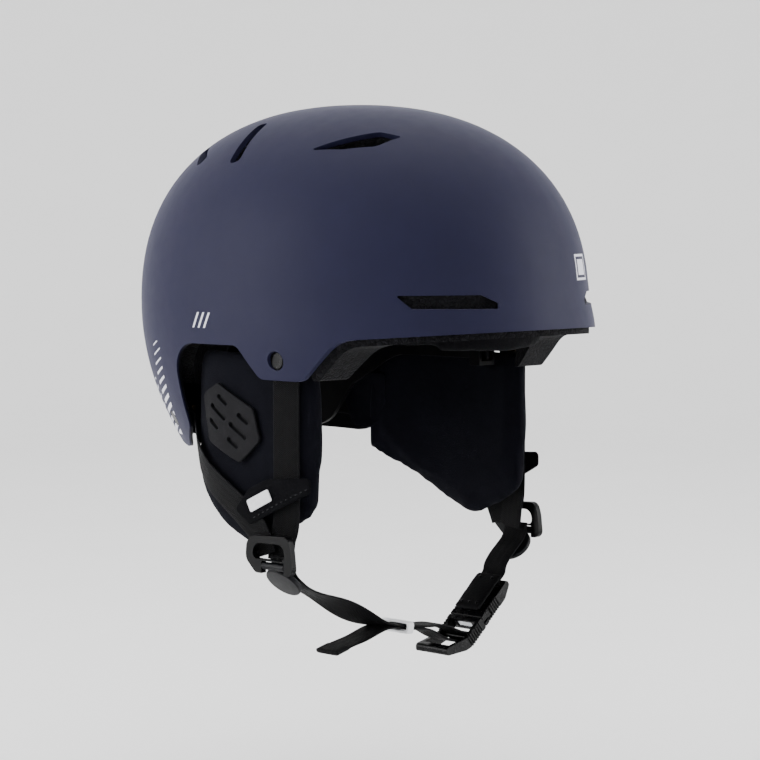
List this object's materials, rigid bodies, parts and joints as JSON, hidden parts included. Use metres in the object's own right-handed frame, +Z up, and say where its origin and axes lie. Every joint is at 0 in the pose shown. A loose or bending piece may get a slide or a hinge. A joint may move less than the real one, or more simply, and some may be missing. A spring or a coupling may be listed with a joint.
{
  "type": "water helmet",
  "caption": "Full-cut water sports helmet with vented shell, foam liner, removable ear pads, dial fit cradle and webbing chin strap with slide-release buckle.",
  "frame": {"origin": "centre of the head opening, level with the front brim", "axes": "+X towards the wearer's left, -Y forwards over the brow, +Z up to the crown"},
  "size_m": [0.2154, 0.2798, 0.3117],
  "materials": {
    "shell": "fine matt paint over injection-moulded plastic",
    "foam": "moulded bead foam, charcoal",
    "liner_fabric": "brushed knit over foam",
    "pad_fabric": "smooth stretch knit over foam",
    "grille_rubber": "soft moulded grille, satin",
    "tag_fabric": "plain woven tag",
    "webbing": "woven nylon webbing",
    "black_plastic": "moulded nylon, satin",
    "lock_plastic": "moulded nylon, fine grain",
    "cradle_plastic": "flexible moulded nylon",
    "knob_rubber": "soft-touch over-moulding",
    "gear_plastic": "natural acetal",
    "buckle_plastic": "moulded acetal, satin gloss",
    "ring_plastic": "translucent soft plastic",
    "chin_leather": "stitched backing pad",
    "screw_steel": "zinc-plated steel",
    "magnet_steel": "nickel-plated magnet",
    "nut_brass": "turned brass"
  },
  "bodies": {
    "helmet": {"outer_shell": "shell", "foam_liner": "foam", "crown_pad": "liner_fabric", "brow_pad": "liner_fabric", "right_side_pad": "liner_fabric", "left_side_pad": "liner_fabric", "right_ear_pad": "pad_fabric", "left_ear_pad": "pad_fabric", "right_ear_vent": "grille_rubber", "left_ear_vent": "grille_rubber", "right_strap_sleeve": "pad_fabric", "left_strap_sleeve": "pad_fabric", "right_sleeve_tag": "tag_fabric", "left_sleeve_tag": "tag_fabric", "right_front_strap": "webbing", "left_front_strap": "webbing", "right_rear_strap": "webbing", "left_rear_strap": "webbing", "right_divider_frame": "black_plastic", "left_divider_frame": "black_plastic", "divider_pins": "screw_steel", "side_screws": "screw_steel", "rear_screws": "screw_steel", "side_nuts": "nut_brass", "rear_nuts": "nut_brass", "fit_arm_guides": "cradle_plastic"},
    "right_lock": {"right_divider_lock": "lock_plastic"},
    "left_lock": {"left_divider_lock": "lock_plastic"},
    "chin_strap": {"right_chin_strap": "webbing", "left_chin_strap": "webbing", "strap_tail": "webbing", "chin_pad": "chin_leather", "buckle_socket": "buckle_plastic", "socket_magnet": "magnet_steel"},
    "buckle_tongue": {"buckle_tongue": "buckle_plastic", "tongue_magnet": "magnet_steel", "tongue_loop": "webbing"},
    "keeper_ring": {"keeper_ring": "ring_plastic"},
    "fit_cradle": {"fit_cradle": "cradle_plastic", "nape_pad": "liner_fabric", "dial_housing": "black_plastic"},
    "fit_dial": {"dial_knob": "knob_rubber", "dial_pinion": "gear_plastic", "dial_screw": "screw_steel"},
    "right_rack": {"right_rack": "gear_plastic"},
    "left_rack": {"left_rack": "gear_plastic"}
  },
  "joints": [
    {"name": "right_lock_lever", "type": "hinge", "parent": "helmet", "child": "right_lock", "pos_m": [-0.1027, -0.038, -0.124], "axis": [0, 1, 0], "range_deg": [0, 70]},
    {"name": "left_lock_lever", "type": "hinge", "parent": "helmet", "child": "left_lock", "pos_m": [0.1027, -0.038, -0.124], "axis": [0, -1, 0], "range_deg": [0, 70]},
    {"name": "chin_strap_swing", "type": "hinge", "parent": "helmet", "child": "chin_strap", "pos_m": [0, -0.038, -0.124], "axis": [1, 0, 0], "range_deg": [-20, 20]},
    {"name": "buckle_release", "type": "slide", "parent": "chin_strap", "child": "buckle_tongue", "axis": [0, -1, 0], "range_m": [0, 0.012], "stiffness_N_per_m": 150},
    {"name": "keeper_ring_slide", "type": "slide", "parent": "chin_strap", "child": "keeper_ring", "axis": [0.9889, 0, -0.1483], "range_m": [-0.008, 0.008]},
    {"name": "fit_cradle_slide", "type": "slide", "parent": "helmet", "child": "fit_cradle", "axis": [0, -1, 0], "range_m": [0, 0.01]},
    {"name": "fit_dial_turn", "type": "hinge", "parent": "fit_cradle", "child": "fit_dial", "pos_m": [0, 0.1, -0.059], "axis": [0, 1, 0], "range_deg": [0, 115]},
    {"name": "right_rack_slide", "type": "slide", "parent": "fit_cradle", "child": "right_rack", "axis": [1, 0, 0], "range_m": [0, 0.01]},
    {"name": "left_rack_slide", "type": "slide", "parent": "fit_cradle", "child": "left_rack", "axis": [-1, 0, 0], "range_m": [0, 0.01]}
  ],
  "couplings": [
    {"joint": "fit_dial_turn", "follows": "fit_cradle_slide", "rad_per_m": 200},
    {"joint": "right_rack_slide", "follows": "fit_cradle_slide", "ratio": 1},
    {"joint": "left_rack_slide", "follows": "fit_cradle_slide", "ratio": 1}
  ]
}
